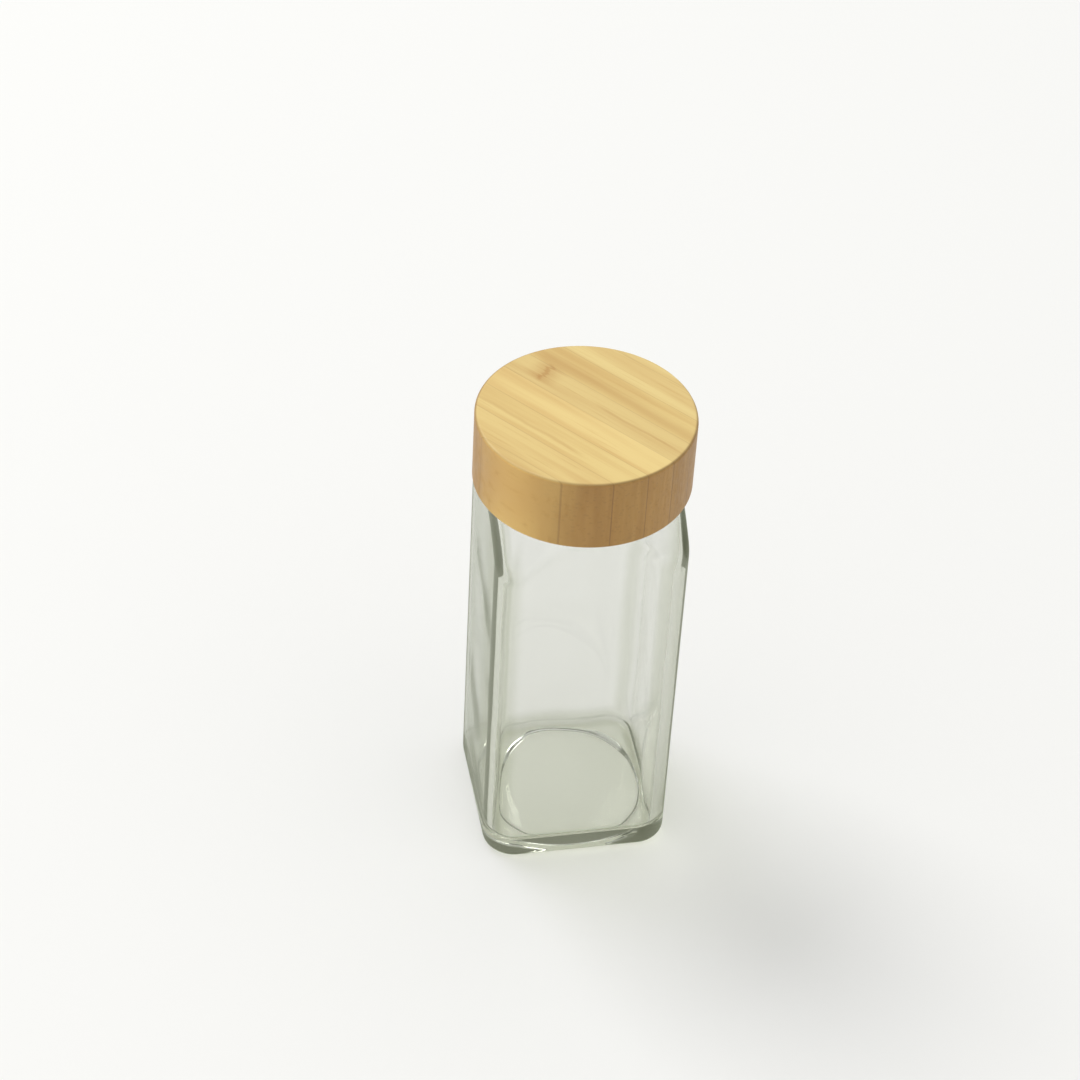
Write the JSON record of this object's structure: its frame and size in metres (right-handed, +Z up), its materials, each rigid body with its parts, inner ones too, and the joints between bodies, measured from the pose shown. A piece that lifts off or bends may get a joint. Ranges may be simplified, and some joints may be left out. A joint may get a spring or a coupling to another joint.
{
  "type": "spice jar",
  "caption": "Square glass spice jar with a round bamboo screw lid, a threaded insert and seal inside it, and a pull-out shaker in the neck",
  "frame": {"origin": "centre of the jar's footprint, on the plane it stands on", "axes": "+Z up along the jar's and the lid's axis, -Y out of one flat glass panel, +X to the right seen from that panel"},
  "size_m": [0.048, 0.048, 0.114],
  "materials": {
    "glass": "clear fire-polished soda-lime glass with a faint grey-green tint",
    "shaker_plastic": "natural translucent polyethylene, soft satin",
    "seal": "off-white foamed liner",
    "insert_plastic": "white polypropylene, light gloss",
    "bamboo": "laminated bamboo strips, sanded and lightly oiled"
  },
  "bodies": {
    "jar": {"glass_jar": "glass"},
    "shaker": {"shaker_insert": "shaker_plastic"},
    "seal": {"seal_disc": "seal"},
    "lid": {"threaded_insert": "insert_plastic", "bamboo_lid": "bamboo"}
  },
  "joints": [
    {"name": "shaker_pull", "type": "slide", "parent": "jar", "child": "shaker", "axis": [0, 0, 1], "range_m": [0, 0.015]},
    {"name": "lid_lift", "type": "slide", "parent": "shaker", "child": "seal", "axis": [0, 0, 1], "range_m": [0, 0.0201]},
    {"name": "lid_turn", "type": "hinge", "parent": "seal", "child": "lid", "pos_m": [0, 0, 0.1], "axis": [0, 0, 1], "range_deg": [0, 1800]}
  ],
  "couplings": [
    {"joint": "lid_lift", "follows": "lid_turn", "m_per_rad": 0.00063662}
  ]
}
